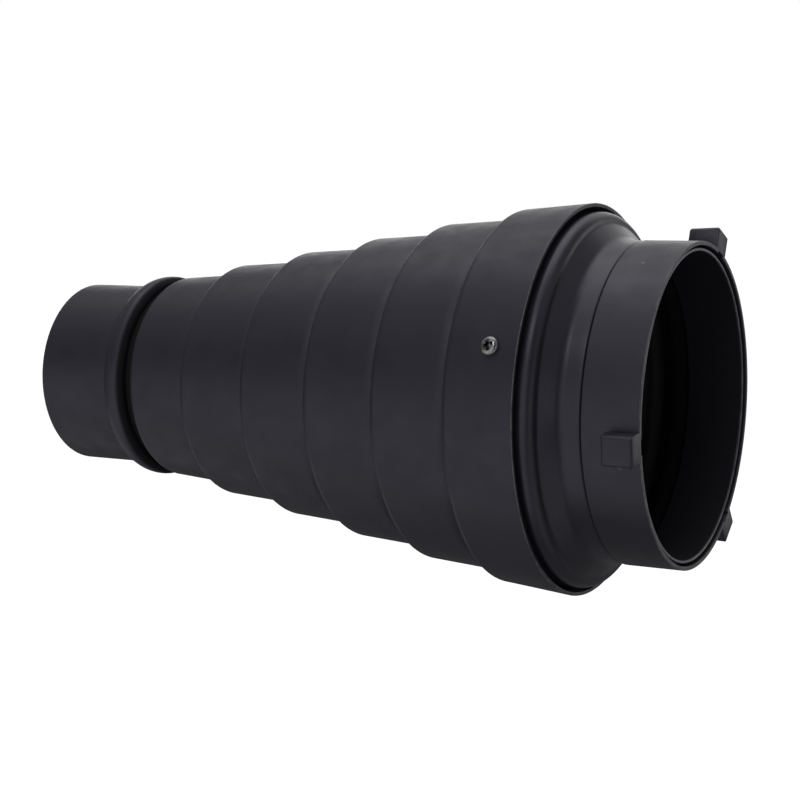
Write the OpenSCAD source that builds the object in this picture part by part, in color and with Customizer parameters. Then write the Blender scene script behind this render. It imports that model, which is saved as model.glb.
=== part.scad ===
// Snoot for a studio flash: a stepped conical light shaper with a three-claw
// bayonet at its wide end and a detachable front tube with a honeycomb grid.
//
// Millimetres. The origin is the centre of the bayonet collar's rim. +X points
// out of the mount, towards the lamp, and the snoot runs along -X to its narrow
// end. +Z is up. Turned outlines are drawn as [radius, place along X].

/* [Shell] */
// Outer diameter of the wide rim
rim_d = 120; // [116:1:126]
// Outer diameter where the narrowest step starts
nose_d = 68.2; // [66:0.2:70]
// How much wider each step starts than the one before
step_gain_d = 9.6; // [9:0.2:9.8]
// Length of each middle step
step_len = 26; // [22:1:30]
// Length of the narrowest step
nose_len = 23.5; // [20:0.5:28]
// Length of the widest step
last_len = 23.5; // [20:0.5:30]
// Widening of each step along its own length, on the diameter
step_flare_d = 2.7; // [1:0.1:3]
// Radius of each step's rounded shoulder
shoulder_r = 2.4; // [2:0.1:3]
// Thickness of the sheet
shell_wall = 1.2; // [0.8:0.1:1.4]

/* [Bayonet] */
// Outer diameter of the collar
collar_d = 98; // [94:0.5:99]
// Thickness of the collar
collar_wall = 1.3; // [1:0.1:1.5]
// Length of the collar
collar_len = 17.5; // [15:0.5:20]
// Width of a claw around the collar
claw_w = 8.8; // [7:0.2:12]
// Length of a claw along the collar
claw_len = 9.4; // [7:0.2:12]
// Height of a claw above the collar
claw_h = 6.5; // [5:0.1:8]
// Gap between a claw's arm and the collar
claw_gap = 1.2; // [0.8:0.1:1.6]
// Thickness of a claw's leg
claw_leg = 3; // [2:0.1:4]
// Width of the rim's notch under each claw
notch_w = 4.6; // [3:0.1:6]
// Depth of the rim's notch under each claw
notch_depth = 2.6; // [1.5:0.1:4]
// Angle of the first claw, from -Y towards +Z
claw_phase = -6.5; // [-60:0.5:60]

/* [Adapter] */
// Distance from the collar's rim plane to the shell's rim plane
rim_setback = 33.5; // [31:0.5:36]
// Thickness of the adapter's sheet
adapter_wall = 1; // [0.8:0.1:1.1]
// Outer diameter of the adapter's neck inside the collar
neck_d = 94; // [92:0.2:94.4]

/* [Fixing screws] */
// Diameter of the screw's thread
screw_d = 3; // [2.5:0.5:3]
// Diameter of the screw's pan head
screw_head_d = 6; // [5:0.2:7]
// Height of the screw's pan head
screw_head_h = 2; // [1.5:0.1:2.5]
// Distance from the shell's rim to the screws
screw_setback = 8.5; // [8:0.5:12]
// Angle of the first screw, from -Y towards +Z
screw_phase = 21; // [0:1:60]

/* [Front tube] */
// Outer diameter of the tube
tube_d = 61.5; // [60.5:0.1:61.9]
// Thickness of the tube
tube_wall = 1.2; // [1:0.1:1.3]
// Length of the tube in front of the coupling ring
tube_len = 27.5; // [24:0.5:40]
// Outer diameter of the coupling ring's lip
lip_d = 68.6; // [67:0.2:72]
// Length of the coupling ring's lip
lip_len = 8.1; // [8:0.1:10]
// Gap left between the lip and the shell
lip_gap = 2.9; // [2.9:0.1:5]
// Length of the spigot that the shell holds
grip_len = 16.5; // [13:0.5:18]
// Outer diameter of the spigot
spigot_d = 62.6; // [62.6:0.1:63]

/* [Honeycomb] */
// Distance between the centres of two cells
cell_pitch = 4; // [3.8:0.1:4.3]
// Thickness of a cell's wall
cell_wall = 0.3; // [0.2:0.05:0.4]
// Depth of the honeycomb
comb_len = 12; // [8:0.5:14]
// Thickness of the band around the honeycomb
band_wall = 0.8; // [0.6:0.1:1]

/* [Hidden] */

turn_fn = 96;       // sides of a turned part in the preview
arc_steps = 6;      // straight pieces in a quarter arc
run_gap = 0.05;     // radial running clearance
cut = 1;            // how far a cutter runs past what it cuts
edge = 0.15;        // small broken edge
matt_black = [0.10, 0.10, 0.11];
soft_black = [0.13, 0.13, 0.14];
dark_steel = [0.32, 0.32, 0.34];
foil_black = [0.06, 0.06, 0.07];

// The steps, counted from the narrow end
steps = 6;
last_step = steps - 1;
shell_rim_x = -rim_setback;
last_step_x = shell_rim_x - last_len;
nose_x = last_step_x - (steps - 2) * step_len - nose_len;
function step_x(i) = i == 0 ? nose_x : last_step_x - (last_step - i) * step_len;
function step_end_x(i) = i == last_step ? shell_rim_x : step_x(i + 1);
function step_start_r(i) = (nose_d + i * step_gain_d) / 2;
function step_end_r(i) = i == last_step ? rim_d / 2 : step_start_r(i) + step_flare_d / 2;

// Outer radius of the widest step at a place along X
last_taper = (rim_d / 2 - step_start_r(last_step)) / (last_len - shoulder_r);
function last_step_r(x) = rim_d / 2 - (shell_rim_x - x) * last_taper;

// The socket that the shell's hemmed nose makes for the spigot
socket_len = 12;
socket_r = spigot_d / 2 + run_gap;
socket_ramp = 2;                     // length over which the bore widens behind the socket

// The adapter, from its skirt inside the shell to its neck inside the collar
skirt_depth = 19;                    // how far the skirt reaches into the shell
skirt_leave = 3.65;                  // how far inside the rim the skirt leaves the shell's wall
skirt_front_x = shell_rim_x - skirt_depth;
skirt_back_x = shell_rim_x - skirt_leave;
crest_r = 57.4;                      // outermost radius of the rolled bead
bead_arc = 3.4;
bead_offset = 1.4;                   // how far behind the rim the bead's crest is
bead_x = shell_rim_x + bead_offset;
bead_r = crest_r - bead_arc;
valley_arc = 1.5;                    // hollow between the skirt and the bead
valley_turn = 25;                    // angle at which the hollow runs into the bead
valley_lead = 30;                    // angle at which the skirt runs into the hollow
valley_x = bead_x - (bead_arc + valley_arc) * sin(valley_turn);
valley_r = bead_r + (bead_arc + valley_arc) * cos(valley_turn);
bead_turn = 78.6;                    // angle at which the bead runs into the groove
groove_arc = 2.5;                    // bottom of the groove behind the bead
groove_x = bead_x + (bead_arc + groove_arc) * sin(bead_turn);
groove_r = bead_r + (bead_arc + groove_arc) * cos(bead_turn);
slope_turn = 47;                     // angle of the straight slope from the groove to the sweep
sweep_arc = 4.1;
sweep_turn = 3;                      // angle at which the sweep runs into the band
band_start_r = 49;
sweep_r = band_start_r + sweep_arc * cos(sweep_turn);
slope_drop = groove_r - sweep_r + (sweep_arc - groove_arc) * cos(slope_turn);
sweep_x = groove_x + slope_drop / tan(slope_turn) + (sweep_arc - groove_arc) * sin(slope_turn);
band_end_r = 48.8;
band_round = 0.8;                    // rounding of the band's edge beside the collar
band_round_end = 70;
joint_gap = 0.15;
shoulder_x = -collar_len - joint_gap;
collar_r = collar_d / 2;
collar_bore_r = collar_r - collar_wall;
seat_r = collar_bore_r - run_gap;
seat_len = 8;
neck_r = neck_d / 2;
neck_setback = 0.8;                  // how far the neck ends inside the rim
neck_ramp = 1;                       // length of the step down from the seat to the neck
flare_len = 1.3;                     // where the neck's bore widens into the band's

// The claws
claws = 3;
claw_top_r = collar_r + claw_h;
claw_slope = 0.5;                    // fall of the arm's top towards its free end
claw_round = 1;

// The screws: square to the tapered wall
screws = 3;
screw_x = shell_rim_x - screw_setback;
screw_r = last_step_r(screw_x);
screw_tilt = atan(last_taper);
screw_hole_d = screw_d + 0.4;
nut_across = 5.5;
nut_h = 2.4;
nut_top = -(shell_wall + run_gap + adapter_wall + 0.1);
recess_len = 3.4;
recess_w = 0.8;
recess_depth = 1.2;
screw_len = 6;
head_crown = 1.4;                    // how far the head's rounding reaches in from its edge

// The front tube and its coupling ring
tube_r = tube_d / 2;
tube_bore_r = tube_r - tube_wall;
lip_back_x = nose_x - lip_gap;
lip_front_x = lip_back_x - lip_len;
tube_front_x = lip_front_x - tube_len;
spigot_r = spigot_d / 2;
spigot_wall = 1.2;
stop_wall = 1.1;
stop_x = lip_back_x - stop_wall;
stop_r = tube_bore_r + run_gap;
spigot_end_x = nose_x + grip_len;
lip_r = lip_d / 2;
lip_rise_x = 4.8;                    // length over which the lip rises
lip_face = 0.7;                      // flat front of the lip around the tube
lip_back_r = 2.4;                    // fall of the lip's rolled back edge
snap_bead_h = 0.3;
snap_bead_w = 1.6;
snap_bead_x = lip_front_x + 4.5;
snap_bead_gap = 0.1;
spigot_chamfer = [0.4, 1];           // height and length of the lead-in at the spigot's end
stop_fillet = 0.6;                   // web between the spigot and the tube's stop
tube_end_gap = 0.1;                  // clearance between the tube and its stop

// The honeycomb inside the front tube
ring_wire_r = 0.5;
ring_r = tube_bore_r - 0.2;
ring_x = tube_front_x + 1.1;
ring_angle = 320;
comb_gap = 0.1;                      // clearance before and behind the honeycomb
comb_x = ring_x + ring_wire_r + comb_gap;
band_r = tube_bore_r - run_gap;
comb_r = band_r - band_wall - run_gap;
comb_stop_x = comb_x + comb_len + 2 * comb_gap;
comb_stop_h = 0.4;
cell_r = (cell_pitch - cell_wall) / 2 / cos(30);

// Points of a quarter of an ellipse about [r, x], from angle a to angle b
function quarter(r, x, r_axis, x_axis, a, b) = [
    for (i = [0:arc_steps]) let (t = a + (b - a) * i / arc_steps) [r + r_axis * cos(t), x + x_axis * sin(t)]
];

// Points of an arc about [r, x]
function arc(r, x, radius, a, b) = quarter(r, x, radius, radius, a, b);

function flatten(lists) = [for (list = lists) for (point = list) point];

// A turned part, from its outline
module spin() {
    rotate([0, 90, 0]) rotate_extrude($fn = turn_fn) children();
}

// Something drawn with +Z outwards, put at an angle from -Y towards +Z
module at_angle(angle) {
    rotate([90 - angle, 0, 0]) children();
}

// ---- Shell ----

shell_outside = flatten([for (i = [0:last_step]) concat(
    i == 0 ? [] : [[step_end_r(i - 1), step_x(i)]],
    arc(step_start_r(i) - shoulder_r, step_x(i) + shoulder_r, shoulder_r, -90, 0),
    i == last_step ? [[step_end_r(i), step_end_x(i)]] : []
)]);

shell_inside = flatten([for (i = [last_step:-1:0]) concat(
    [[step_end_r(i) - shell_wall, step_end_x(i) + (i == last_step ? 0 : shell_wall)]],
    i == 0
        ? [[step_start_r(0) - shell_wall, nose_x + socket_len + socket_ramp], [socket_r, nose_x + socket_len],
           [socket_r, nose_x + edge], [socket_r + edge, nose_x]]
        : arc(step_start_r(i) - shoulder_r, step_x(i) + shoulder_r, shoulder_r - shell_wall, 0, -90)
)]);

module shell() {
    color(matt_black) difference() {
        spin() polygon(concat(shell_outside, shell_inside));
        screw_places() cylinder(d = screw_hole_d, h = 4 * shell_wall, center = true, $fn = 32);
    }
}

// ---- Adapter ----

adapter_outside = concat(
    [[last_step_r(skirt_front_x) - shell_wall - run_gap, skirt_front_x],
     [last_step_r(skirt_back_x) - shell_wall - run_gap, skirt_back_x]],
    arc(valley_r, valley_x, valley_arc, 180 + valley_lead, 180 - valley_turn),
    arc(bead_r, bead_x, bead_arc, -valley_turn, bead_turn),
    arc(groove_r, groove_x, groove_arc, 180 + bead_turn, 180 + slope_turn),
    arc(sweep_r, sweep_x, sweep_arc, 180 + slope_turn, 180 + sweep_turn),
    arc(band_end_r - band_round, shoulder_x - band_round, band_round, sweep_turn, band_round_end),
    [[seat_r, shoulder_x], [seat_r, shoulder_x + seat_len], [neck_r, shoulder_x + seat_len + neck_ramp],
     [neck_r, -neck_setback - edge], [neck_r - edge, -neck_setback]]
);

adapter_inside = concat(
    [[neck_r - adapter_wall, -neck_setback], [neck_r - adapter_wall, shoulder_x - adapter_wall],
     [collar_bore_r, shoulder_x - adapter_wall - flare_len]],
    arc(sweep_r, sweep_x, sweep_arc + adapter_wall, 180 + sweep_turn, 180 + slope_turn),
    arc(groove_r, groove_x, groove_arc + adapter_wall, 180 + slope_turn, 180 + bead_turn),
    arc(bead_r, bead_x, bead_arc - adapter_wall, bead_turn, -valley_turn),
    arc(valley_r, valley_x, valley_arc + adapter_wall, 180 - valley_turn, 180 + valley_lead),
    [[last_step_r(skirt_back_x) - shell_wall - run_gap - adapter_wall, skirt_back_x],
     [last_step_r(skirt_front_x) - shell_wall - run_gap - adapter_wall, skirt_front_x]]
);

module adapter() {
    color(matt_black) difference() {
        spin() polygon(concat(adapter_outside, adapter_inside));
        screw_places() translate([0, 0, -shell_wall - adapter_wall / 2])
            cylinder(d = screw_hole_d, h = 4 * adapter_wall, center = true, $fn = 32);
    }
}

// ---- Bayonet collar and claws ----

module collar() {
    color(soft_black) difference() {
        spin() polygon([
            [collar_bore_r, -collar_len], [collar_r - edge, -collar_len], [collar_r, -collar_len + edge],
            [collar_r, -edge], [collar_r - edge, 0], [collar_bore_r + edge, 0], [collar_bore_r, -edge]
        ]);
        for (i = [0:claws - 1]) at_angle(claw_angle(i))
            translate([cut / 2 - notch_depth / 2, 0, collar_r - collar_wall / 2])
                cube([notch_depth + cut, notch_w, 3 * collar_wall], center = true);
    }
}

function claw_angle(i) = claw_phase + i * 360 / claws;

// Side view of a claw: a leg at the rim and an arm that reaches back over the collar
module claw_side() {
    root = collar_r - 1;
    underside = collar_r + claw_gap;
    polygon(concat(
        [[0, root]],
        arc(-claw_round, claw_top_r - claw_round, claw_round, 0, 90),
        arc(-claw_len + claw_round / 2, claw_top_r - claw_slope - claw_round / 2, claw_round / 2, 90, 180),
        [[-claw_len, underside + edge], [-claw_len + edge, underside], [-claw_leg, underside], [-claw_leg, root]]
    ));
}

// End view of a claw, with its outer corners rounded
module claw_end() {
    half = claw_w / 2;
    polygon(concat(
        [[-half, 0], [half, 0]],
        arc(half - claw_round, claw_top_r - claw_round, claw_round, 0, 90),
        arc(-half + claw_round, claw_top_r - claw_round, claw_round, 90, 180)
    ));
}

module claw(i) {
    color(soft_black) at_angle(claw_angle(i)) difference() {
        intersection() {
            rotate([90, 0, 0]) linear_extrude(claw_w + cut, center = true) claw_side();
            translate([cut, 0, 0]) rotate([90, 0, -90]) linear_extrude(claw_len + 2 * cut) claw_end();
        }
        rotate([0, 90, 0]) cylinder(r = collar_r, h = 3 * claw_len, center = true, $fn = turn_fn);
    }
}

module claw_1() { claw(0); }
module claw_2() { claw(1); }
module claw_3() { claw(2); }

// ---- Fixing screws and nuts ----

// Each screw's own frame: its head's underside on the shell, +Z outwards
module screw_places() {
    for (i = [0:screws - 1]) at_angle(screw_phase + i * 360 / screws)
        translate([screw_x, 0, screw_r]) rotate([0, -screw_tilt, 0]) children();
}

module screw() {
    head_r = screw_head_d / 2;
    difference() {
        rotate_extrude($fn = 48) polygon(concat(
            [[0, -screw_len], [screw_d / 2 - edge, -screw_len], [screw_d / 2, -screw_len + edge],
             [screw_d / 2, 0], [head_r - edge, 0], [head_r, edge]],
            quarter(head_r - head_crown, screw_head_h / 2, head_crown, screw_head_h / 2, 0, 90),
            [[0, screw_head_h]]
        ));
        for (angle = [0, 90]) rotate([0, 0, angle])
            translate([0, 0, screw_head_h - recess_depth / 2 + cut / 2])
                cube([recess_len, recess_w, recess_depth + cut], center = true);
    }
}

module fixing_screws() {
    color(dark_steel) screw_places() screw();
}

module fixing_nuts() {
    color(dark_steel) screw_places() translate([0, 0, nut_top - nut_h]) difference() {
        cylinder(d = nut_across / cos(30), h = nut_h, $fn = 6);
        translate([0, 0, -cut]) cylinder(d = screw_d, h = nut_h + 2 * cut, $fn = 32);
    }
}

// ---- Coupling ring ----

module coupling_ring() {
    lip_top_x = lip_front_x + lip_rise_x;
    snap_r = tube_r + run_gap + snap_bead_h;
    snap_half = snap_bead_w / 2 + snap_bead_gap;
    lip_rise = lip_r - tube_r - run_gap - lip_face;
    color(matt_black) spin() polygon(concat(
        [[tube_r + run_gap, lip_front_x]],
        quarter(lip_r - lip_rise, lip_top_x, lip_rise, lip_rise_x, -90, 0),
        quarter(lip_r - lip_back_r, lip_top_x, lip_back_r, lip_len - lip_rise_x, 0, 90),
        [[spigot_r, lip_back_x], [spigot_r, spigot_end_x - spigot_chamfer[1]],
         [spigot_r - spigot_chamfer[0], spigot_end_x],
         [spigot_r - spigot_wall, spigot_end_x], [spigot_r - spigot_wall, lip_back_x + stop_fillet],
         [stop_r, lip_back_x], [stop_r, stop_x], [tube_r + run_gap, stop_x],
         [tube_r + run_gap, snap_bead_x + snap_half], [snap_r, snap_bead_x + snap_half - snap_bead_h],
         [snap_r, snap_bead_x - snap_half + snap_bead_h], [tube_r + run_gap, snap_bead_x - snap_half]]
    ));
}

// ---- Front tube ----

module front_tube() {
    tube_back_x = stop_x - tube_end_gap;
    bead_half = snap_bead_w / 2;
    color(matt_black) spin() difference() {
        polygon([
            [tube_bore_r, tube_front_x], [tube_r - edge, tube_front_x], [tube_r, tube_front_x + edge],
            [tube_r, snap_bead_x - bead_half], [tube_r + snap_bead_h, snap_bead_x - bead_half + snap_bead_h],
            [tube_r + snap_bead_h, snap_bead_x + bead_half - snap_bead_h], [tube_r, snap_bead_x + bead_half],
            [tube_r, tube_back_x], [tube_bore_r - comb_stop_h, tube_back_x],
            [tube_bore_r - comb_stop_h, comb_stop_x], [tube_bore_r, comb_stop_x]
        ]);
        translate([ring_r, ring_x]) circle(r = ring_wire_r + run_gap, $fn = 32);
    }
}

// ---- Honeycomb grid ----

module honeycomb() {
    rows = ceil(comb_r / cell_pitch);
    color(foil_black) translate([comb_x, 0, 0]) rotate([90, 0, 90]) linear_extrude(comb_len) difference() {
        circle(r = comb_r, $fn = turn_fn);
        for (row = [-rows * 2:rows * 2], column = [-rows * 2:rows * 2]) {
            place = cell_pitch * [column + row / 2, row * sin(60)];
            if (norm(place) + cell_r < comb_r - cell_wall)
                translate(place) rotate(30) circle(r = cell_r, $fn = 6);
        }
    }
}

module honeycomb_band() {
    color(soft_black) spin() polygon([
        [band_r - band_wall, comb_x], [band_r, comb_x],
        [band_r, comb_x + comb_len], [band_r - band_wall, comb_x + comb_len]
    ]);
}

module grid_snap_ring() {
    color(dark_steel) translate([ring_x, 0, 0]) rotate([0, 90, 0]) rotate([0, 0, (360 - ring_angle) / 2])
        rotate_extrude(angle = ring_angle, $fn = turn_fn) translate([ring_r, 0]) circle(r = ring_wire_r, $fn = 24);
}

shell();
adapter();
collar();
claw_1();
claw_2();
claw_3();
fixing_screws();
fixing_nuts();
coupling_ring();
front_tube();
honeycomb();
honeycomb_band();
grid_snap_ring();
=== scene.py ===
"""A stepped conical snoot for a studio flash, with its bayonet, its front tube and its honeycomb.

The CAD model is loaded as a fixed frame. Every piece here is built in that frame, around the
X axis, and rides on its CAD body. Outlines of turned pieces are lists of (radius, x, wear) in
millimetres. Wear from 0 to 1 says how much of the black coat an edge has lost, and a wear of -1
marks the dull, rougher coat of surfaces that nobody handles. That dull coat carries painted fill
light deep inside the shell and adapter, and painted shade on the back of the front lip and on the
spigot in the gap behind it.
"""
import math

import bmesh
import bpy
from mathutils import Euler, Matrix, Vector, noise


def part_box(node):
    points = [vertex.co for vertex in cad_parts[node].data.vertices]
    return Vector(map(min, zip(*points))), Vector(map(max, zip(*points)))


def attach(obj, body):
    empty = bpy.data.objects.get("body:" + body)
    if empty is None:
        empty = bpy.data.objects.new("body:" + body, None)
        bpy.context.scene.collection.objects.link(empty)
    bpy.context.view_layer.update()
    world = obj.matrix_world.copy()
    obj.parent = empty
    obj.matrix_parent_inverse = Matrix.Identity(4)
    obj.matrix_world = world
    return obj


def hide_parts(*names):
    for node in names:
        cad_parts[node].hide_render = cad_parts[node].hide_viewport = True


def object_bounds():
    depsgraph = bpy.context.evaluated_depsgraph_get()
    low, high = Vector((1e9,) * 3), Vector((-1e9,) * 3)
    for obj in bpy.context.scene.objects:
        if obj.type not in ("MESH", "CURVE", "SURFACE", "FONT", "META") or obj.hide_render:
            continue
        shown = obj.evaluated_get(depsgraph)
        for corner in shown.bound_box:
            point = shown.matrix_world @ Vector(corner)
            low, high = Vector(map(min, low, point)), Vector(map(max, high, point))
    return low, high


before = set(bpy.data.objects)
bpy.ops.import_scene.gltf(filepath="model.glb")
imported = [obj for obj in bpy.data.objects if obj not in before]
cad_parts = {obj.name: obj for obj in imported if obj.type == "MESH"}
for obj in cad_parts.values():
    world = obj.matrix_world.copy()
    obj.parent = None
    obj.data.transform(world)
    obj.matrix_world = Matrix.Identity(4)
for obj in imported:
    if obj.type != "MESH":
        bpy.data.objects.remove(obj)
cad_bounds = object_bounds()

MM = 0.001

# ---- Sizes in millimetres ----


def span(node):
    """Lowest and highest x of a CAD node."""
    low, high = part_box(node)
    return low.x / MM, high.x / MM


def reach(node):
    """Outer radius of a turned CAD node."""
    low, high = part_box(node)
    return max(high.y - low.y, high.z - low.z) / 2 / MM


SHELL_FRONT, SHELL_RIM = span("shell")
SHELL_R = reach("shell")
STEPS = 6
STEP_LEN = 26.0
LAST_LEN = 23.5
START_GAIN = 4.8
LAST_START_R = SHELL_R - 1.9
STEP_FLARE = 1.35
SHOULDER_R = 2.4
SHELL_WALL = 1.2
FOOT_FILLET = 0.6
ROLL_R = 10.0
ROLL_START = -3.5
ROLL_TURNS = (8.0, 9.0, 14.0, 14.0, 15.0)     # how far each step's end turns inwards, in degrees
HEM_LEN = 12.0
HEM_R = 31.35

ADAPTER_FRONT, NECK_X = span("adapter")
ADAPTER_WALL = 1.0
NECK_R = 47.0

COLLAR_FRONT, RIM_X = span("collar")
COLLAR_R = reach("collar")
COLLAR_WALL = 1.3
NOTCH_W = 4.6
NOTCH_DEPTH = 2.6

CLAW_W = 8.8
CLAW_LEN = 9.4
CLAW_TOP = COLLAR_R + 6.5
CLAW_UNDER = COLLAR_R + 1.2
CLAW_LEG = 3.0
CLAW_SLOPE = 0.5
CLAW_TOP_ROUND = 0.95
CLAW_EDGE_ROUND = 0.22
CLAW_ANGLES = (-6.5, 113.5, 233.5)

SCREW_ANGLES = (21.0, 141.0, 261.0)
SCREW_X = SHELL_RIM - 8.5
SCREW_HEAD_R = 2.8
SCREW_HEAD_H = 2.0
SCREW_R = 1.5
SCREW_LEN = 6.0
NUT_TOP = -2.35
NUT_H = 2.4
NUT_ACROSS = 5.5

LIP_FRONT, SPIGOT_END = span("coupling_ring")
LIP_R = reach("coupling_ring")
LIP_LEN = 8.1
SPIGOT_R = 31.3
SPIGOT_WALL = 1.2
SNAP_X = LIP_FRONT + 4.5     # middle of the tube's snap bead and its groove
SNAP_RISE = 0.3

TUBE_FRONT, TUBE_BACK = span("front_tube")
TUBE_R = 30.75
TUBE_BORE_R = 29.55

COMB_FRONT, COMB_BACK = span("honeycomb")
COMB_R = reach("honeycomb")
CELL_PITCH = 4.0
FOIL = 0.14

COLUMNS = 240
PIECE_LEN = 2.2     # longest straight stretch of a wavy outline
WEAR_FADE = 0.1     # how far wear runs past the edge it is on
DULL = -1.0


# ---- Outlines ----


def ellipse(r, x, r_axis, x_axis, start, end, wear=0.0, steps=12):
    """Points of part of an ellipse about (r, x), between two angles in degrees."""
    points = []
    for i in range(steps + 1):
        t = math.radians(start + (end - start) * i / steps)
        points.append((r + r_axis * math.cos(t), x + x_axis * math.sin(t), wear))
    return points


def arc(r, x, radius, start, end, wear=0.0, steps=10):
    """Points of an arc about (r, x), between two angles in degrees."""
    return ellipse(r, x, radius, radius, start, end, wear, steps)


def refine(outline, longest):
    """Adds points along long stretches, and one close beside each worn edge to end its wear."""
    result = []
    for i, start in enumerate(outline):
        end = outline[(i + 1) % len(outline)]
        result.append(start)
        length = math.hypot(end[0] - start[0], end[1] - start[1])
        rest = min(start[2], end[2], 0.0)
        stops = []
        if length > 0.7:
            if start[2] > 0:
                stops.append((WEAR_FADE / length, rest))
            count = int(length / longest)
            stops += [((k + 1) / (count + 1), rest) for k in range(count)]
            if end[2] > 0:
                stops.append((1 - WEAR_FADE / length, rest))
        for t, wear in sorted(stops):
            result.append((start[0] + (end[0] - start[0]) * t, start[1] + (end[1] - start[1]) * t, wear))
    return result


# ---- Meshes ----


def make_object(name, mesh_data, body, material, nodes=()):
    """Links a finished mesh as a piece that rides on a body and may stand for CAD nodes."""
    piece = bpy.data.objects.new(name, mesh_data)
    bpy.context.scene.collection.objects.link(piece)
    mesh_data.materials.append(material)
    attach(piece, body)
    if nodes:
        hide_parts(*nodes)
    return piece


def finish_mesh(name, bm, sharp_angle=32.0):
    """Turns a bmesh into a mesh with outward, smooth normals and sharp corners."""
    bmesh.ops.remove_doubles(bm, verts=bm.verts, dist=0.002 * MM)
    bmesh.ops.dissolve_degenerate(bm, edges=bm.edges, dist=0.001 * MM)
    bmesh.ops.recalc_face_normals(bm, faces=bm.faces)
    mesh = bpy.data.meshes.new(name)
    bm.to_mesh(mesh)
    bm.free()
    mesh.shade_smooth()
    mesh.set_sharp_from_angle(angle=math.radians(sharp_angle))
    return mesh


def around_x(r, x, phi):
    """A point at an angle about the X axis, from -Y towards +Z."""
    return Vector((x, -r * math.cos(phi), r * math.sin(phi))) * MM


def turned(name, outline, place=around_x, columns=COLUMNS, angles=None, cut=None, wave=None):
    """Spins a closed outline. Angles are (phi, is_cut) pairs, and cut moves a point where is_cut holds."""
    bm = bmesh.new()
    wear_layer = bm.verts.layers.float.new("wear")
    if angles is None:
        angles = [(2 * math.pi * k / columns, False) for k in range(columns)]
    rings = []
    for phi, is_cut in angles:
        ring = []
        for point in outline:
            r, x, wear = cut(point) if is_cut else point
            if wave:
                r += wave(x, phi)
            vert = bm.verts.new(place(r, x, phi))
            vert[wear_layer] = wear
            ring.append(vert)
        rings.append(ring)
    count = len(outline)
    for k, ring in enumerate(rings):
        other = rings[(k + 1) % len(rings)]
        for i in range(count):
            j = (i + 1) % count
            bm.faces.new((ring[i], ring[j], other[j], other[i]))
    return finish_mesh(name, bm)


def hand_wave(size, seed):
    """Slight unevenness of a sheet that was spun over a form by hand."""
    def wave(x, phi):
        spot = Vector((x / 22 + seed, 1.3 * math.cos(phi), 1.3 * math.sin(phi)))
        return size * noise.noise(spot)
    return wave


# ---- Materials ----


class Graph:
    """A material's nodes, wired by name."""

    def __init__(self, name):
        self.material = bpy.data.materials.new(name)
        self.material.use_nodes = True
        self.tree = self.material.node_tree
        self.tree.nodes.clear()
        self.shader = self.add("ShaderNodeBsdfPrincipled")
        output = self.add("ShaderNodeOutputMaterial")
        self.link(self.shader.outputs["BSDF"], output.inputs["Surface"])
        self.place = self.add("ShaderNodeTexCoord").outputs["Object"]
        self.axial = self.add("ShaderNodeSeparateXYZ", Vector=self.place).outputs["X"]

    def link(self, start, end):
        self.tree.links.new(start, end)

    def add(self, kind, props=None, **inputs):
        node = self.tree.nodes.new(kind)
        for key, value in (props or {}).items():
            setattr(node, key, value)
        for key, value in inputs.items():
            socket = node.inputs[int(key[1:])] if key[0] == "_" else node.inputs[key.replace("_", " ")]
            if isinstance(value, bpy.types.NodeSocket):
                self.link(value, socket)
            else:
                socket.default_value = value
        return node

    def noise(self, scale, detail=2.0, roughness=0.5):
        """Noise of a size in features per metre."""
        return self.add("ShaderNodeTexNoise", Vector=self.place, Scale=scale, Detail=detail,
                        Roughness=roughness).outputs["Fac"]

    def rings(self, scale, detail=3.0):
        """Noise that only changes along the axis, like the marks of a spinning tool."""
        return self.add("ShaderNodeTexNoise", {"noise_dimensions": "1D"}, W=self.axial, Scale=scale,
                        Detail=detail).outputs["Fac"]

    def remap(self, value, low, high, to_low, to_high):
        return self.add("ShaderNodeMapRange", Value=value, _1=low, _2=high, _3=to_low, _4=to_high).outputs[0]

    def math(self, operation, a, b):
        return self.add("ShaderNodeMath", {"operation": operation}, _0=a, _1=b).outputs[0]

    def mix(self, factor, a, b):
        """A mix of two colours, each a colour or a socket."""
        node = self.add("ShaderNodeMix", {"data_type": "RGBA"}, _0=factor, _6=a, _7=b)
        return node.outputs[2]

    def blend(self, factor, a, b):
        """A mix of two numbers."""
        return self.add("ShaderNodeMix", {"data_type": "FLOAT"}, _0=factor, _2=a, _3=b).outputs[0]

    def bump(self, height, distance, normal=None):
        node = self.add("ShaderNodeBump", Height=height, Distance=distance)
        if normal:
            self.link(normal, node.inputs["Normal"])
        return node.outputs["Normal"]

    def set(self, **inputs):
        for key, value in inputs.items():
            socket = self.shader.inputs[key.replace("_", " ")]
            if isinstance(value, bpy.types.NodeSocket):
                self.link(value, socket)
            else:
                socket.default_value = value


BARE_METAL = (0.55, 0.54, 0.52, 1.0)
DUST_GREY = (0.16, 0.16, 0.17, 1.0)
COAT_DARK = (0.0118, 0.0110, 0.0165, 1.0)
COAT_LIGHT = (0.0150, 0.0140, 0.0200, 1.0)
DULL_BLACK = (0.014, 0.0135, 0.018, 1.0)
# Painted fill light: a lighter black for the dull coat deep inside the shell and adapter, where little light
# reaches.
PAINTED_FILL_BLACK = (0.075, 0.073, 0.079, 1.0)
# Painted shade: a darker black for the back of the front lip and the spigot in the gap behind it.
GAP_PAINTED_SHADE = (0.008, 0.008, 0.009, 1.0)
SHEEN = (0.86, 0.835, 1.0, 1.0)     # cool cast of the coat's reflections
DEEP_START, DEEP_END = -0.026, -0.034     # where, in metres, the dull coat inside turns to its deep colour, painted fill light in the shell and adapter


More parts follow.
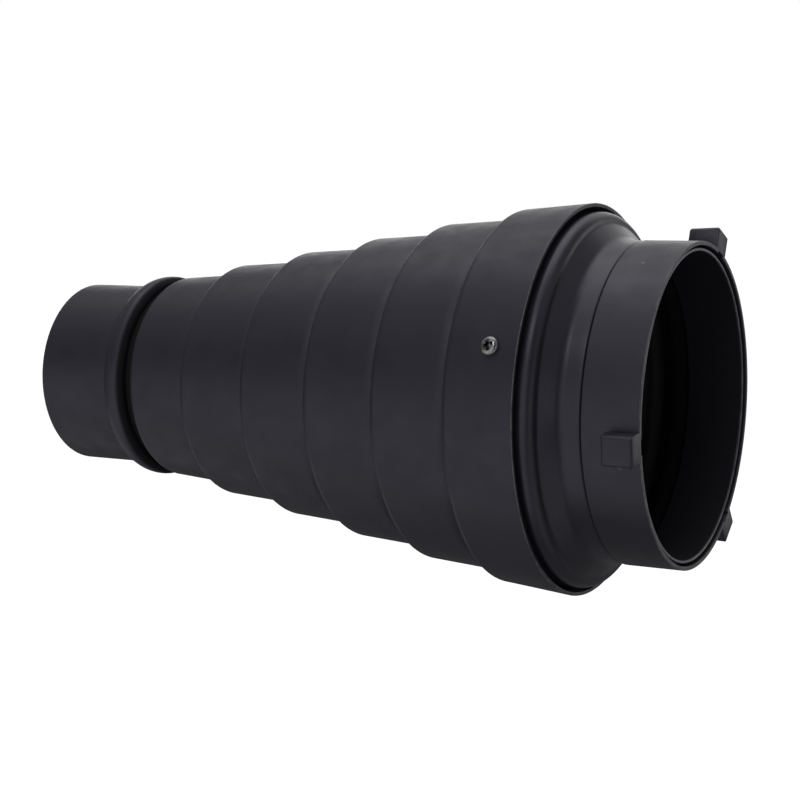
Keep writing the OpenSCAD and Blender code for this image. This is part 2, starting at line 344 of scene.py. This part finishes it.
def coat(name, dark, light, rough=(0.42, 0.54), spun=0.000008, peel=0.000006, wear_amount=0.55, marks=(),
         deep=PAINTED_FILL_BLACK, dull_sheen=0.12):
    """Black coat over turned aluminium: tool rings, orange peel, dust specks and bright worn edges.

    Marks are small chips, each given by its place in metres, its radius in millimetres and how
    much of the metal it lays bare."""
    g = Graph(name)
    mottled = g.remap(g.noise(70, 4), 0.35, 0.7, 0, 1)
    base = g.mix(mottled, dark, light)

    # Dust: small pale specks in a few of many cells
    cells = g.add("ShaderNodeTexVoronoi", Vector=g.place, Scale=170, Randomness=1.0)
    near = g.remap(cells.outputs["Distance"], 0.02, 0.05, 1, 0)
    draw = g.add("ShaderNodeSeparateColor", Color=cells.outputs["Color"]).outputs[0]
    chosen = g.math("GREATER_THAN", draw, 0.86)
    speck = g.math("MULTIPLY", g.math("MULTIPLY", near, chosen), 0.35)
    base = g.mix(speck, base, DUST_GREY)

    # Worn edges, broken up along their length, and a dull coat where nobody handles it, which deep inside
    # takes painted fill light and on the front pieces painted shade
    attribute = g.add("ShaderNodeAttribute", {"attribute_name": "wear"}).outputs["Fac"]
    edge = g.math("MAXIMUM", attribute, 0.0)
    dull = g.math("MAXIMUM", g.math("MULTIPLY", attribute, -1.0), 0.0)
    patchy = g.remap(g.noise(260, 5, 0.7), 0.38, 0.62, 0.25, 1.0)
    worn = g.math("MULTIPLY", g.math("MULTIPLY", edge, patchy), wear_amount)
    ragged = g.remap(g.noise(1500, 2), 0.3, 0.7, -0.3, 0.3)
    for place, radius, bare in marks:
        gap = g.add("ShaderNodeVectorMath", {"operation": "DISTANCE"}, _0=g.place, _1=place).outputs["Value"]
        size = g.math("ADD", g.remap(gap, 0.0, 2 * radius * MM, 1.5, -0.5), ragged)
        worn = g.math("MAXIMUM", worn, g.remap(size, 0.35, 0.65, 0.0, bare))
    # Painted light: past DEEP_START the dull coat fades to the deep colour, a lighter fill in the shell and
    # adapter and a darker shade behind the front lip.
    inward = g.remap(g.axial, DEEP_END, DEEP_START, 1, 0)
    base = g.mix(dull, base, g.mix(inward, DULL_BLACK, deep))

    rough_field = g.remap(g.noise(150, 3), 0.3, 0.7, rough[0], rough[1])
    rough_field = g.blend(dull, rough_field, 0.7)
    normal = g.bump(g.noise(28, 1), 0.00025)
    normal = g.bump(g.rings(1500), spun, normal)
    normal = g.bump(g.noise(1100, 2), peel, normal)
    g.set(Base_Color=g.mix(worn, base, BARE_METAL), Metallic=worn, Specular_Tint=SHEEN,
          Specular_IOR_Level=g.blend(dull, 0.5, dull_sheen),
          Roughness=g.blend(worn, rough_field, 0.34), Normal=normal)
    return g.material


def steel(name, color, rough):
    """Metal with fine scratches, dull patches and a darker film in places."""
    g = Graph(name)
    film = g.remap(g.noise(420, 4, 0.6), 0.35, 0.65, 0, 1)
    dark = tuple(c * 0.35 for c in color[:3]) + (1.0,)
    edge = g.add("ShaderNodeAttribute", {"attribute_name": "wear"}).outputs["Fac"]
    bright = tuple(min(1.0, c * 2.2) for c in color[:3]) + (1.0,)
    base = g.mix(edge, g.mix(film, dark, color), bright)
    g.set(Base_Color=base, Metallic=1.0,
          Roughness=g.remap(g.noise(700, 3), 0.3, 0.7, rough[0], rough[1]),
          Normal=g.bump(g.noise(1800, 3, 0.7), 0.00001))
    return g.material


BODY_BLACK = coat("shell_coat", COAT_DARK, COAT_LIGHT)
ADAPTER_BLACK = coat("adapter_coat", COAT_DARK, COAT_LIGHT,
                     rough=(0.34, 0.42), marks=[(around_x(49.2, -28.4, math.radians(9.9)), 0.4, 0.25)])
COLLAR_BLACK = coat("collar_coat", (0.0122, 0.0115, 0.0165, 1), (0.0155, 0.0146, 0.0200, 1),
                    rough=(0.38, 0.50), wear_amount=0.75,
                    marks=[(around_x(COLLAR_R, -9.5, math.radians(62.7)), 0.35, 0.3),
                           (around_x(COLLAR_R, -6.3, math.radians(-13.8)), 0.45, 0.1)])
CLAW_BLACK = coat("claw_coat", (0.0125, 0.0118, 0.0168, 1), (0.0160, 0.0150, 0.0205, 1),
                  rough=(0.40, 0.52), spun=0.0, peel=0.000012, wear_amount=0.30)
# The front pieces' dull coat is painted shade in the gap behind the lip.
FRONT_BLACK = coat("front_coat", COAT_DARK, COAT_LIGHT, wear_amount=0.15,
                   deep=GAP_PAINTED_SHADE, dull_sheen=0.08)
COMB_BLACK = coat("comb_foil", (0.0060, 0.0060, 0.0066, 1), (0.0100, 0.0100, 0.0108, 1),
                  rough=(0.45, 0.60), spun=0.0, wear_amount=0.40)
SCREW_STEEL = steel("screw_steel", (0.28, 0.28, 0.29, 1), (0.16, 0.30))
NUT_STEEL = steel("nut_steel", (0.50, 0.50, 0.50, 1), (0.30, 0.50))
RING_STEEL = steel("ring_steel", (0.16, 0.16, 0.17, 1), (0.28, 0.45))


# ---- Shell ----


def step_start_x(k):
    last = SHELL_RIM - LAST_LEN
    return SHELL_FRONT if k == 0 else last - (STEPS - 1 - k) * STEP_LEN


def step_start_r(k):
    return LAST_START_R - (STEPS - 1 - k) * START_GAIN


def step_end_r(k):
    return SHELL_R if k == STEPS - 1 else step_start_r(k) + STEP_FLARE


def rolled_foot(k):
    """The rounded end of a step and the fillet from which the next step's shoulder rises."""
    turn, back = math.radians(ROLL_TURNS[k]), math.radians(ROLL_START)
    end_x = step_start_x(k + 1) - FOOT_FILLET * (1 + math.sin(turn))
    end_r = step_end_r(k) - ROLL_R * (math.cos(back) - math.cos(turn))
    middle_r, middle_x = end_r - ROLL_R * math.cos(turn), end_x - ROLL_R * math.sin(turn)
    points = arc(middle_r, middle_x, ROLL_R, ROLL_START, ROLL_TURNS[k], steps=8)
    fillet_r, fillet_x = end_r + FOOT_FILLET * math.cos(turn), end_x + FOOT_FILLET * math.sin(turn)
    return points + arc(fillet_r, fillet_x, FOOT_FILLET, 180 + ROLL_TURNS[k], 90, steps=7)[1:]


def shell_outline():
    last = STEPS - 1
    edge, inside_round = 0.22, 0.5
    outer = []
    for k in range(STEPS):
        x, r = step_start_x(k), step_start_r(k)
        if k > 0:
            outer += rolled_foot(k - 1)
        outer += arc(r - SHOULDER_R, x + SHOULDER_R, SHOULDER_R, -90, 0, steps=12)
    outer += arc(SHELL_R - edge, SHELL_RIM - edge, edge, 0, 90, wear=0.35, steps=5)

    inner = arc(SHELL_R - SHELL_WALL + edge, SHELL_RIM - edge, edge, 90, 180, wear=0.05, steps=5)
    for k in range(last, -1, -1):
        x, r = step_start_x(k), step_start_r(k)
        if k < last:
            corner_r = step_end_r(k) - SHELL_WALL + inside_round
            corner_x = step_start_x(k + 1) + SHELL_WALL - inside_round
            inner += arc(corner_r, corner_x, inside_round, 90, 180, wear=DULL, steps=4)
        if k > 0:
            inner += arc(r - SHOULDER_R, x + SHOULDER_R, SHOULDER_R - SHELL_WALL, 0, -90, wear=DULL, steps=6)
    hem_x = SHELL_FRONT + HEM_LEN
    inner += [(step_start_r(0) - SHELL_WALL, hem_x + 2, DULL), (HEM_R, hem_x, DULL)]
    inner += arc(HEM_R + 0.2, SHELL_FRONT + 0.2, 0.2, 180, 270, steps=4)
    return refine(outer + inner, PIECE_LEN)


def build_shell():
    mesh = turned("shell_skin", shell_outline(), wave=hand_wave(0.05, 3.7))
    make_object("shell_skin", mesh, "snoot", BODY_BLACK, ["shell"])


# ---- Adapter ----


def adapter_outline():
    """A skirt inside the shell, a hollow, a rolled bead, a concave sweep, a short band and the neck."""
    taper = (SHELL_R - LAST_START_R) / (LAST_LEN - SHOULDER_R)
    gap = 0.05

    def skirt(x, depth=0.0, wear=0.0):
        return SHELL_R - (SHELL_RIM - x) * taper - SHELL_WALL - gap - depth, x, wear

    bead, crest = 3.4, 57.4
    bead_r, bead_x = crest - bead, SHELL_RIM + 1.4
    dip, steep, slope, level = 25.0, 78.6, 47.0, 3.0     # how far the wall has turned at each joint
    hollow, groove, sweep, band = 1.5, 2.5, 4.1, 49.0
    hollow_r = bead_r + (bead + hollow) * math.cos(math.radians(dip))
    hollow_x = bead_x - (bead + hollow) * math.sin(math.radians(dip))
    groove_r = bead_r + (bead + groove) * math.cos(math.radians(steep))
    groove_x = bead_x + (bead + groove) * math.sin(math.radians(steep))
    sweep_r = band + sweep * math.cos(math.radians(level))
    drop = groove_r - sweep_r + (sweep - groove) * math.cos(math.radians(slope))
    run = drop / math.tan(math.radians(slope)) + (sweep - groove) * math.sin(math.radians(slope))
    sweep_x = groove_x + run
    skirt_end = SHELL_RIM - 3.65
    shoulder_x = COLLAR_FRONT - 0.15
    shoulder, seat_len, neck_ramp, lip = 0.8, 8.0, 1.0, 0.3
    seat_r = COLLAR_R - COLLAR_WALL - gap
    inner_r = NECK_R - ADAPTER_WALL

    outer = [skirt(ADAPTER_FRONT), skirt(skirt_end)]
    outer += arc(hollow_r, hollow_x, hollow, 210, 180 - dip, steps=8)
    outer += arc(bead_r, bead_x, bead, -dip, steep, steps=26)[1:]
    outer += arc(groove_r, groove_x, groove, 180 + steep, 180 + slope, steps=10)[1:]
    outer += arc(sweep_r, sweep_x, sweep, 180 + slope, 180 + level, steps=16)
    outer += arc(band - 1.0, shoulder_x - shoulder, shoulder, level, 70, steps=6)
    outer += [(seat_r, shoulder_x, 0.0), (seat_r, shoulder_x + seat_len, 0.0)]
    outer += [(NECK_R, shoulder_x + seat_len + neck_ramp, 0.0)]
    outer += arc(NECK_R - lip, NECK_X - lip, lip, 0, 90, wear=0.25, steps=4)
    inner = arc(inner_r + lip, NECK_X - lip, lip, 90, 180, wear=0.25, steps=4)
    inner += [(inner_r, NECK_X - 0.8, DULL), (inner_r, shoulder_x - 1, DULL)]
    inner += [(COLLAR_R - COLLAR_WALL, shoulder_x - 2.3, DULL)]
    inner += arc(sweep_r, sweep_x, sweep + ADAPTER_WALL, 180 + level, 180 + slope, wear=DULL, steps=10)
    inner += arc(groove_r, groove_x, groove + ADAPTER_WALL, 180 + slope, 180 + steep, wear=DULL, steps=8)
    inner += arc(bead_r, bead_x, bead - ADAPTER_WALL, steep, -dip, wear=DULL, steps=12)[1:]
    inner += arc(hollow_r, hollow_x, hollow + ADAPTER_WALL, 180 - dip, 210, wear=DULL, steps=6)[1:]
    inner += [skirt(skirt_end, ADAPTER_WALL, DULL), skirt(ADAPTER_FRONT, ADAPTER_WALL, DULL)]
    return refine(outer + inner, PIECE_LEN)


def build_adapter():
    mesh = turned("adapter_insert", adapter_outline(), wave=hand_wave(0.03, 8.1))
    make_object("adapter_insert", mesh, "snoot", ADAPTER_BLACK, ["adapter"])


# ---- Collar and claws ----


def build_collar():
    bore = COLLAR_R - COLLAR_WALL
    edge = 0.24
    outline = refine(
        [(bore, COLLAR_FRONT, DULL), (COLLAR_R - 0.2, COLLAR_FRONT, 0.0), (COLLAR_R, COLLAR_FRONT + 0.2, 0.0)]
        + arc(COLLAR_R - edge, RIM_X - edge, edge, 0, 90, wear=0.25, steps=5)
        + arc(bore + edge, RIM_X - edge, edge, 90, 180, wear=0.05, steps=5)
        + [(bore, RIM_X - edge - 0.3, DULL)],
        PIECE_LEN,
    )
    half_notch = math.asin(NOTCH_W / 2 / COLLAR_R)
    notches = [math.radians(a) for a in CLAW_ANGLES]
    angles = []
    for i, middle in enumerate(notches):
        following = notches[(i + 1) % len(notches)] + (2 * math.pi if i == len(notches) - 1 else 0)
        start, end = middle - half_notch, middle + half_notch
        angles += [(start, False)] + [(start + (end - start) * k / 6, True) for k in range(7)]
        arc_start, arc_end = end, following - half_notch
        count = COLUMNS // len(notches)
        angles += [(arc_start + (arc_end - arc_start) * k / count, False) for k in range(count)]

    def cut(point):
        r, x, wear = point
        floor_x = RIM_X - NOTCH_DEPTH
        return (r, min(x, floor_x), 0.2 if x > floor_x else wear)

    mesh = turned("collar_tube", outline, angles=angles, cut=cut)
    make_object("collar_tube", mesh, "snoot", COLLAR_BLACK, ["collar"])


def build_claw(index):
    """An L-shaped claw: a leg on the collar at its rim, and an arm that reaches back over the collar."""
    phi = math.radians(CLAW_ANGLES[index])
    radial = Vector((0, -math.cos(phi), math.sin(phi)))
    tangent = Vector((0, math.sin(phi), math.cos(phi)))
    root = COLLAR_R - 0.45
    side = [
        (RIM_X, root), (RIM_X, CLAW_TOP), (RIM_X - CLAW_LEN, CLAW_TOP - CLAW_SLOPE),
        (RIM_X - CLAW_LEN, CLAW_UNDER), (RIM_X - CLAW_LEG, CLAW_UNDER), (RIM_X - CLAW_LEG, root),
    ]
    bm = bmesh.new()
    walls = []
    for t in (-CLAW_W / 2, CLAW_W / 2):
        walls.append([bm.verts.new((Vector((x, 0, 0)) + radial * h + tangent * t) * MM) for x, h in side])
    bm.faces.new(walls[0])
    bm.faces.new(list(reversed(walls[1])))
    for i in range(len(side)):
        j = (i + 1) % len(side)
        bm.faces.new((walls[0][i], walls[1][i], walls[1][j], walls[0][j]))
    bmesh.ops.recalc_face_normals(bm, faces=bm.faces)

    def height(vert):
        return vert.co.dot(radial) / MM

    high = CLAW_TOP - CLAW_SLOPE - 0.1
    top_edges = [e for e in bm.edges if all(height(v) > high for v in e.verts)]
    top = bmesh.ops.bevel(bm, geom=top_edges, offset=CLAW_TOP_ROUND * MM, segments=3, profile=0.5,
                          affect="EDGES")
    worn = set(top["verts"])
    corner = 0.9     # edges that turn by more than this, in radians, are rounded off
    crisp = [e for e in bm.edges if len(e.link_faces) == 2 and e.calc_face_angle(0) > corner]
    bmesh.ops.bevel(bm, geom=crisp, offset=CLAW_EDGE_ROUND * MM, segments=2, profile=0.5, affect="EDGES")
    wear_layer = bm.verts.layers.float.new("wear")
    for vert in bm.verts:
        if vert in worn:
            vert[wear_layer] = 0.35
    name = f"claw_{index + 1}_block"
    mesh = finish_mesh(name, bm, 40)
    make_object(name, mesh, "snoot", CLAW_BLACK, [f"claw_{index + 1}"])


# ---- Screws and nuts ----


def screw_frame(angle):
    """The place of a screw: its head's underside on the shell, its Z square to the tapered wall."""
    taper = (SHELL_R - LAST_START_R) / (LAST_LEN - SHOULDER_R)
    r = SHELL_R - (SHELL_RIM - SCREW_X) * taper
    turn = Matrix.Rotation(math.radians(90 - angle), 4, "X")
    tilt = Matrix.Rotation(-math.atan(taper), 4, "Y")
    return turn @ Matrix.Translation(Vector((SCREW_X, 0, r)) * MM) @ tilt


def boolean(name, base, other, operation):
    """The exact union, difference or intersection of two meshes, as a new mesh."""
    a = bpy.data.objects.new("boolean_base", base)
    b = bpy.data.objects.new("boolean_other", other)
    for obj in (a, b):
        bpy.context.scene.collection.objects.link(obj)
    modifier = a.modifiers.new("cut", "BOOLEAN")
    modifier.object = b
    modifier.operation = operation
    modifier.solver = "EXACT"
    graph = bpy.context.evaluated_depsgraph_get()
    result = bpy.data.meshes.new_from_object(a.evaluated_get(graph))
    result.name = name
    for obj in (a, b):
        bpy.data.objects.remove(obj)
    return result


def frustum(top, bottom, top_z, bottom_z, turn=0.0):
    """A tapered block, given by its half sizes at two heights."""
    bm = bmesh.new()
    rings = []
    for (half_x, half_y), z in ((bottom, bottom_z), (top, top_z)):
        corners = [(-half_x, -half_y), (half_x, -half_y), (half_x, half_y), (-half_x, half_y)]
        rings.append([bm.verts.new(Vector((x, y, z)) * MM) for x, y in corners])
    bm.faces.new(rings[0])
    bm.faces.new(list(reversed(rings[1])))
    for i in range(4):
        j = (i + 1) % 4
        bm.faces.new((rings[0][i], rings[0][j], rings[1][j], rings[1][i]))
    bmesh.ops.rotate(bm, verts=bm.verts, cent=(0, 0, 0), matrix=Matrix.Rotation(turn, 3, "Z"))
    return finish_mesh("frustum", bm)


def around_z(r, z, phi):
    return Vector((r * math.cos(phi), r * math.sin(phi), z)) * MM


def screw_mesh(turn):
    """A pan-head screw with a cross recess and a threaded end."""
    pitch, depth = 0.5, 0.24
    thread = []
    z = -SCREW_LEN + 0.3
    while z < -1.5:
        thread += [(SCREW_R - depth, z, 0.0), (SCREW_R, z + pitch / 2, 0.0)]
        z += pitch
    outline = [(0.001, -SCREW_LEN, 0.0), (SCREW_R - depth - 0.2, -SCREW_LEN, 0.0)] + thread
    outline += [(SCREW_R, -1.0, 0.0), (SCREW_R, 0.0, 0.0), (SCREW_HEAD_R - 0.15, 0.0, 0.0)]
    outline += [(SCREW_HEAD_R, 0.2, 0.6)]
    outline += [(r, z, 0.6 if z < 1.2 else 0.2)
                for r, z, _ in ellipse(SCREW_HEAD_R - 1.5, 0.75, 1.5, SCREW_HEAD_H - 0.75, 0, 90)]
    outline += [(0.001, SCREW_HEAD_H, 0.2)]
    head = turned("screw", outline, place=around_z, columns=64)
    for arm in (0.0, math.pi / 2):
        slot = frustum((1.95, 0.62), (0.75, 0.28), SCREW_HEAD_H + 0.4, SCREW_HEAD_H - 1.35, turn + arm)
        head = boolean("screw", head, slot, "DIFFERENCE")
    head.shade_smooth()
    head.set_sharp_from_angle(angle=math.radians(32))
    return head


def nut_mesh():
    """A hexagon nut with chamfered corners."""
    corner = NUT_ACROSS / 2 / math.cos(math.radians(30))
    low, high = NUT_TOP - NUT_H, NUT_TOP
    section = [(SCREW_R, low, 0.0), (corner, low, 0.0), (corner, high, 0.0), (SCREW_R, high, 0.0)]
    prism = turned("prism", section, place=around_z, columns=6)
    flat = NUT_ACROSS / 2 - 0.05
    rounding = [(0.4, low - 0.01, 0.0), (flat, low - 0.01, 0.0), (corner + 0.1, low + 0.42, 0.0),
                (corner + 0.1, high - 0.42, 0.0), (flat, high + 0.01, 0.0), (0.4, high + 0.01, 0.0)]
    mesh = boolean("nut", prism, turned("rounding", rounding, place=around_z, columns=48), "INTERSECT")
    mesh.shade_smooth()
    mesh.set_sharp_from_angle(angle=math.radians(20))
    return mesh


def joined(name, meshes):
    bm = bmesh.new()
    for mesh in meshes:
        bm.from_mesh(mesh)
    result = bpy.data.meshes.new(name)
    bm.to_mesh(result)
    bm.free()
    return result


def build_screws():
    screws, nuts = [], []
    for i, angle in enumerate(SCREW_ANGLES):
        screw = screw_mesh(math.radians(18 + 41 * i))
        nut = nut_mesh()
        for mesh in (screw, nut):
            mesh.transform(screw_frame(angle))
        screws.append(screw)
        nuts.append(nut)
    screw_set, nut_set = joined("screw_set", screws), joined("nut_set", nuts)
    make_object("screw_set", screw_set, "snoot", SCREW_STEEL, ["fixing_screws"])
    make_object("nut_set", nut_set, "snoot", NUT_STEEL, ["fixing_nuts"])


# ---- Coupling ring and front tube ----


def build_coupling_ring():
    bore = TUBE_R + 0.05
    rise = 4.8
    back = LIP_FRONT + LIP_LEN
    stop = back - 1.1
    face, rear_round = 0.7, 2.4
    bright_steps, fade_steps = 2.8, 4     # how many steps round the back the coat keeps its own colour, then fades to painted shade
    outline = [(bore, LIP_FRONT + 0.15, 0.0), (bore + 0.15, LIP_FRONT, 0.0)]
    outline += ellipse(bore + face, LIP_FRONT + rise, LIP_R - bore - face, rise, -90, 0, steps=20)
    rear = ellipse(LIP_R - rear_round, LIP_FRONT + rise, rear_round, LIP_LEN - rise, 0, 90, steps=16)
    outline += [(r, x, DULL * min(1.0, max(0.0, (i - bright_steps) / fade_steps)))
                for i, (r, x, _) in enumerate(rear)]
    # Painted shade on the spigot, where it shows in the gap behind the lip.
    outline += [(SPIGOT_R + 1, back, DULL), (SPIGOT_R, back + 0.1, DULL), (SPIGOT_R, SPIGOT_END - 1, DULL)]
    outline += arc(SPIGOT_R - 0.4, SPIGOT_END - 0.4, 0.4, 0, 90, wear=0.3, steps=5)
    outline += [(SPIGOT_R - SPIGOT_WALL, SPIGOT_END, 0.0), (SPIGOT_R - SPIGOT_WALL, back + 0.6, 0.0)]
    outline += [(TUBE_BORE_R + 0.05, back, 0.0), (TUBE_BORE_R + 0.05, stop, 0.0), (bore, stop, 0.0)]
    outline += [(bore, SNAP_X + 0.9, 0.0), (bore + SNAP_RISE, SNAP_X + 0.6, 0.0)]
    outline += [(bore + SNAP_RISE, SNAP_X - 0.6, 0.0), (bore, SNAP_X - 0.9, 0.0)]
    mesh = turned("coupling_lip", refine(outline, PIECE_LEN))
    make_object("coupling_lip", mesh, "coupling", FRONT_BLACK, ["coupling_ring"])


def build_front_tube():
    edge = 0.3
    stop_x = COMB_BACK + 0.2
    groove_x = TUBE_FRONT + 1.1
    outline = arc(TUBE_BORE_R + 0.2, TUBE_FRONT + 0.2, 0.2, 180, 270, wear=0.5, steps=4)
    outline += arc(TUBE_R - edge, TUBE_FRONT + edge, edge, 270, 360, wear=1.0, steps=5)
    outline += [(TUBE_R, SNAP_X - 0.8, 0.0), (TUBE_R + SNAP_RISE, SNAP_X - 0.5, 0.0)]
    outline += [(TUBE_R + SNAP_RISE, SNAP_X + 0.5, 0.0), (TUBE_R, SNAP_X + 0.8, 0.0)]
    outline += [(TUBE_R, TUBE_BACK, 0.0), (TUBE_BORE_R - 0.4, TUBE_BACK, 0.0)]
    outline += [(TUBE_BORE_R - 0.4, stop_x, 0.0), (TUBE_BORE_R, stop_x, 0.0)]
    outline += arc(TUBE_BORE_R - 0.2, groove_x, 0.55, 65, -65, steps=8)
    mesh = turned("front_barrel", refine(outline, PIECE_LEN))
    make_object("front_barrel", mesh, "front", FRONT_BLACK, ["front_tube"])


# ---- Honeycomb ----


def comb_wall(bm, start, end, thickness):
    """One foil wall between two points of the comb's face, through the comb's depth."""
    along = Vector((end[0] - start[0], end[1] - start[1]))
    if along.length < 0.05:
        return
    across = Vector((-along.y, along.x)).normalized() * thickness / 2
    corners = []
    for x in (COMB_FRONT, COMB_BACK):
        for point, sign in ((start, 1), (start, -1), (end, -1), (end, 1)):
            y, z = point[0] + across.x * sign, point[1] + across.y * sign
            corners.append(bm.verts.new(Vector((x, y, z)) * MM))
    front, back = corners[:4], corners[4:]
    bm.faces.new(front)
    bm.faces.new(list(reversed(back)))
    for i in range(4):
        j = (i + 1) % 4
        bm.faces.new((front[i], back[i], back[j], front[j]))


def build_honeycomb():
    """Foil folded into hexagons and trimmed to a disc. Each third wall is two foils thick."""
    limit = COMB_R - 0.1
    rows = int(COMB_R / CELL_PITCH) + 2
    side = CELL_PITCH / math.sqrt(3)

    def jitter(point):
        spot = Vector((point[0] / 5, point[1] / 5, 4.2))
        return (point[0] + 0.22 * noise.noise(spot), point[1] + 0.22 * noise.noise(spot + Vector((9, 3, 1))))

    bm = bmesh.new()
    for row in range(-2 * rows, 2 * rows + 1):
        for column in range(-2 * rows, 2 * rows + 1):
            y = CELL_PITCH * (column + row / 2)
            z = CELL_PITCH * row * math.sin(math.radians(60))
            if math.hypot(y, z) > COMB_R + CELL_PITCH:
                continue
            for k in range(3):
                ends = []
                for corner in (k, k + 1):
                    turn = math.radians(30 + 60 * corner)
                    ends.append(jitter((y + side * math.cos(turn), z + side * math.sin(turn))))
                ends.sort(key=lambda p: math.hypot(*p))
                near, far = ends
                if math.hypot(*near) > limit:
                    continue
                if math.hypot(*far) > limit:
                    low, high = 0.0, 1.0
                    for _ in range(24):
                        t = (low + high) / 2
                        point = (near[0] + (far[0] - near[0]) * t, near[1] + (far[1] - near[1]) * t)
                        low, high = (low, t) if math.hypot(*point) > limit else (t, high)
                    far = point
                comb_wall(bm, near, far, FOIL * (2 if k == 2 else 1))
    mesh = bpy.data.meshes.new("comb_foil")
    bm.to_mesh(mesh)
    bm.free()
    make_object("comb_foil", mesh, "front", COMB_BLACK, ["honeycomb"])


def give_material(node, material):
    """Gives a CAD node that stays a better material."""
    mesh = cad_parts[node].data
    mesh.materials.clear()
    mesh.materials.append(material)


# ---- Camera, lights and floor ----


CAMERA_PLACE = (166.64, -496.47, 70.71)
CAMERA_TURNS = (28.30, -7.52, -0.45)     # azimuth, pitch and roll in degrees
LENS = 78.85


def make_camera():
    camera = bpy.data.objects.new("camera", bpy.data.cameras.new("camera"))
    camera.data.sensor_width = 36.0
    camera.data.lens = LENS
    camera.data.clip_end = 60
    camera.location = Vector(CAMERA_PLACE) * MM
    azimuth, pitch, roll = (math.radians(turn) for turn in CAMERA_TURNS)
    flat = math.cos(pitch)
    ahead = Vector((-math.sin(azimuth) * flat, math.cos(azimuth) * flat, math.sin(pitch)))
    level = ahead.to_track_quat("-Z", "Y")
    camera.rotation_euler = (level @ Euler((0, 0, roll)).to_quaternion()).to_euler()
    bpy.context.scene.collection.objects.link(camera)
    bpy.context.scene.camera = camera


KEY_POWER = 8.0     # watts of the overhead light; the others are set in half stops under it

# Name, place from the snoot's middle in metres, width, height, stops under the overhead light.
LIGHTS = (
    ("top", (-0.10, 0.25, 1.30), 1.4, 1.2, 0.0),
    ("backdrop", (-0.65, 1.20, 0.25), 1.4, 0.5, 1.0),
    ("front", (0.10, -1.40, 0.10), 1.2, 1.0, 1.5),
    ("low_front", (-0.20, -0.95, -0.85), 1.4, 1.0, 1.5),
    ("top_back", (-0.20, 1.20, 0.80), 1.6, 0.9, 1.5),
    ("right_back", (0.95, 1.25, 0.05), 1.0, 1.0, 1.5),
    ("top_front", (-0.20, -0.80, 1.10), 1.2, 1.0, 2.0),
    ("high_front", (0.14, -1.00, 0.97), 0.5, 0.5, 2.0),
    ("left_low_front", (-0.85, -1.15, -0.25), 1.0, 1.0, 2.0),
    ("low_left", (-1.10, -0.10, -0.80), 1.2, 1.0, 2.5),
    ("low_right", (1.00, -0.30, -0.80), 1.2, 1.0, 2.5),
    ("right_up", (1.10, 0.10, 0.80), 1.2, 1.0, 3.0),
    ("top_left", (-1.10, 0.10, 0.90), 1.2, 1.0, 3.5),
    ("right_small", (1.33, -0.43, 0.00), 0.5, 0.5, 3.5),
)
AMBIENT = 0.125     # strength of the surround as the snoot sees it


def make_lights():
    low, high = cad_bounds
    middle = (low + high) / 2
    for name, place, width, height, stops in LIGHTS:
        data = bpy.data.lights.new(name, "AREA")
        data.shape = "RECTANGLE"
        data.size = width
        data.size_y = height
        data.energy = KEY_POWER / 2 ** stops
        lamp = bpy.data.objects.new(name, data)
        lamp.location = middle + Vector(place)
        lamp.rotation_euler = (-Vector(place)).to_track_quat("-Z", "Y").to_euler()
        bpy.context.scene.collection.objects.link(lamp)
        lamp.visible_camera = False


def make_studio():
    """A pale floor far below the snoot and a white surround, seen by the camera only."""
    world = bpy.data.worlds.new("surround")
    bpy.context.scene.world = world
    world.use_nodes = True
    nodes, links = world.node_tree.nodes, world.node_tree.links
    background = nodes["Background"]
    background.inputs["Color"].default_value = (1, 1, 1, 1)
    seen = nodes.new("ShaderNodeLightPath").outputs["Is Camera Ray"]
    strength = nodes.new("ShaderNodeMapRange")
    strength.inputs["To Min"].default_value = AMBIENT
    strength.inputs["To Max"].default_value = 1.0
    links.new(seen, strength.inputs["Value"])
    links.new(strength.outputs["Result"], background.inputs["Strength"])

    mesh = bpy.data.meshes.new("floor")
    half, level = 20.0, -0.75
    corners = [(x * half, y * half, level) for x, y in ((-1, -1), (1, -1), (1, 1), (-1, 1))]
    mesh.from_pydata(corners, [], [(0, 1, 2, 3)])
    floor = bpy.data.objects.new("floor", mesh)
    bpy.context.scene.collection.objects.link(floor)
    g = Graph("pale_floor")
    g.set(Base_Color=(0.85, 0.85, 0.85, 1), Roughness=0.9,
          Emission_Color=(1, 1, 1, 1), Emission_Strength=0.97)
    mesh.materials.append(g.material)
    floor.visible_glossy = False
    floor.visible_diffuse = False
    floor.visible_shadow = False
    bpy.context.scene.view_settings.view_transform = "Standard"


make_camera()
make_lights()
make_studio()
build_shell()
build_adapter()
build_collar()
for claw in range(len(CLAW_ANGLES)):
    build_claw(claw)
build_screws()
build_coupling_ring()
build_front_tube()
build_honeycomb()
give_material("honeycomb_band", FRONT_BLACK)
give_material("grid_snap_ring", RING_STEEL)
